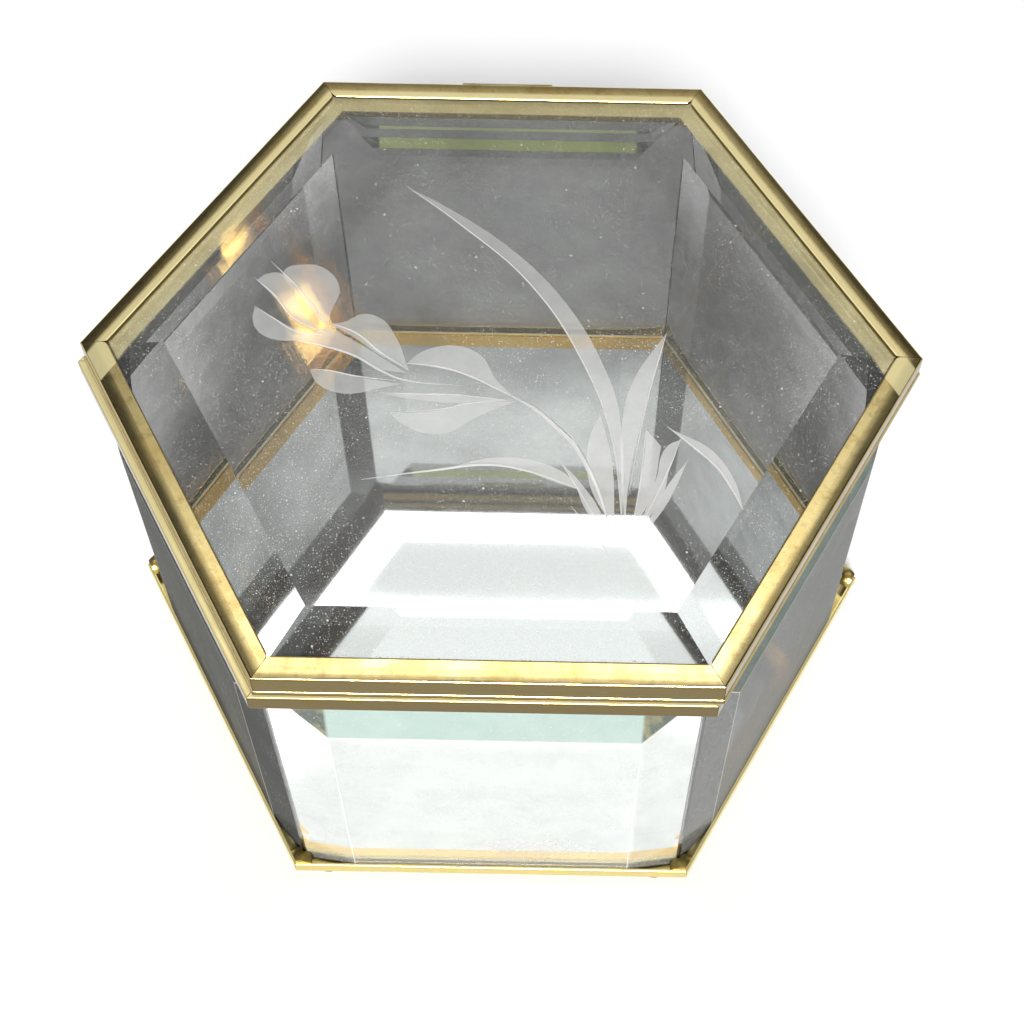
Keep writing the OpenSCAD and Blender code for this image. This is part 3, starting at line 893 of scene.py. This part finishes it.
# The overhead bank's brightness by how far back: bright over the box, dim at the back of the studio
BANK_STOPS = (
    (0.0, 0.05), (0.19, 0.2), (0.22, 2.4), (0.3, 2.4), (0.34, 1.5), (0.4, 1.5),
    (0.42, 4.0), (0.455, 4.0), (0.472, 1.0), (0.492, 1.0), (0.505, 1.25), (0.56, 1.2),
    (0.58, 0.62), (0.62, 0.56), (0.66, 0.46), (0.72, 0.5), (0.8, 0.3), (1.0, 0.08),
)
BESIDE_BANK = (0.04, 0.04, 0.04, 1.0)
FRONT_BANK = (0.7, 0.7, 0.7, 1.0)
PALE_WALL = (1.0, 1.0, 1.0, 1.0)
bank_ramp = node(world, "ValToRGB", {"Fac": sky_y})
ramp = bank_ramp.color_ramp
while len(ramp.elements) < len(BANK_STOPS):
    ramp.elements.new(0.5)
for element, (at, level) in zip(ramp.elements, BANK_STOPS):
    element.position = at
    element.color = (level, level, level, 1.0)
# The bank is narrower from where it is brightest on
narrowing = node(
    world,
    "MapRange",
    {"Value": sky_y, "From Min": 0.4, "From Max": 0.46, "To Min": 1.0, "To Max": 1.25},
)
bank_side = node(world, "Math", {0: sky_x, 1: narrowing.outputs[0]}, operation="MULTIPLY")
bank_off = node(world, "Math", {0: bank_side.outputs[0]}, operation="ABSOLUTE")
bank_width = node(world, "MapRange", {"Value": bank_off.outputs[0], "From Min": 0.36, "From Max": 0.13})
bank = node(
    world,
    "MixRGB",
    {"Fac": bank_width.outputs[0], "Color1": BESIDE_BANK, "Color2": bank_ramp.outputs[0]},
)
# A second bank, over the front of the studio, lights what faces forward
front_low = node(world, "MapRange", {"Value": sky_y, "From Min": -0.76, "From Max": -0.7})
front_high = node(world, "MapRange", {"Value": sky_y, "From Min": -0.34, "From Max": -0.4})
front_span = node(
    world, "Math", {0: front_low.outputs[0], 1: front_high.outputs[0]}, operation="MULTIPLY"
)
front_width = node(world, "MapRange", {"Value": bank_off.outputs[0], "From Min": 0.34, "From Max": 0.26})
front_up = node(world, "Math", {0: sky_z, 1: 0.0}, operation="GREATER_THAN")
front_side = node(
    world, "Math", {0: front_span.outputs[0], 1: front_width.outputs[0]}, operation="MULTIPLY"
)
front_mask = node(world, "Math", {0: front_side.outputs[0], 1: front_up.outputs[0]}, operation="MULTIPLY")
banks = node(
    world, "MixRGB", {"Fac": front_mask.outputs[0], "Color1": bank.outputs[0], "Color2": FRONT_BANK}
)
# Pale wall all round, low down
wall = node(
    world,
    "MapRange",
    {"Value": sky_z, "From Min": 0.12, "From Max": 0.2, "To Min": 1.0, "To Max": 0.0},
)
sky = node(world, "MixRGB", {"Fac": wall.outputs[0], "Color1": banks.outputs[0], "Color2": PALE_WALL})
sky_light = node(world, "Background", {"Color": sky.outputs[0], "Strength": 1.0})
node(world, "OutputWorld", {"Surface": sky_light.outputs[0]})


def add_lamp(name, kind, energy):
    """Hangs a lamp in the studio."""
    light = bpy.data.lights.new(name, kind)
    light.energy = energy
    lamp = bpy.data.objects.new(name, light)
    bpy.context.scene.collection.objects.link(lamp)
    return lamp


# The key comes from the front, well up, and is broad enough for soft shadows
KEY_ENERGY = 3.9
KEY_BREADTH = 16
KEY_HEIGHT = 46
key_lamp = add_lamp("key_lamp", "SUN", KEY_ENERGY)
key_lamp.data.angle = math.radians(KEY_BREADTH)
key_lamp.rotation_euler = (math.radians(90 - KEY_HEIGHT), 0, 0)
key_lamp.visible_transmission = False
# Small warm lamps over the right, seen only in glass: the left panes throw back a golden glow
WARM_COLOUR = (1.0, 0.6, 0.18)
BACK_RIGHT = (0.123, 0.098, 0.208)
RIGHT = (0.108, 0.016, 0.205)
# Place, radius in metres and power in watts
WARM_LAMPS = ((BACK_RIGHT, 0.01, 0.17), (BACK_RIGHT, 0.016, 0.1), (RIGHT, 0.008, 0.04))
for order, (place, radius, watts) in enumerate(WARM_LAMPS):
    warm_lamp = add_lamp(f"warm_lamp_{order}", "POINT", watts)
    warm_lamp.data.color = WARM_COLOUR
    warm_lamp.data.shadow_soft_size = radius
    warm_lamp.location = place
    warm_lamp.visible_diffuse = False
    warm_lamp.visible_glossy = False

# Camera: looking down from the front. Its lens and centre are in pixels of the frame
LENS_PX = 1823.8
CENTRE_X = 560.07
CENTRE_Y = 379.8
IMAGE_W = 1024
IMAGE_H = 1027
SENSOR = 36.0
CAMERA_PLACE = Vector((10.8, -195.5, 354.38)) * MM
# Degrees that it is tilted up from straight down, leaned to its right, and turned to its left
CAMERA_TILT = 35.031
CAMERA_LEAN = -0.756
CAMERA_TURN = 0.821
camera_data = bpy.data.cameras.new("camera")
camera = bpy.data.objects.new("camera", camera_data)
bpy.context.scene.collection.objects.link(camera)
bpy.context.scene.camera = camera
camera_data.sensor_width = SENSOR
camera_data.lens = LENS_PX / IMAGE_H * SENSOR
camera_data.shift_x = (IMAGE_W / 2 - CENTRE_X) / IMAGE_H
camera_data.shift_y = (CENTRE_Y - IMAGE_H / 2) / IMAGE_H
camera_data.clip_start = 0.01
camera_data.clip_end = 100.0
camera.location = CAMERA_PLACE
camera.rotation_euler = [math.radians(angle) for angle in (CAMERA_TILT, CAMERA_LEAN, CAMERA_TURN)]

bpy.context.scene.view_settings.view_transform = "Standard"
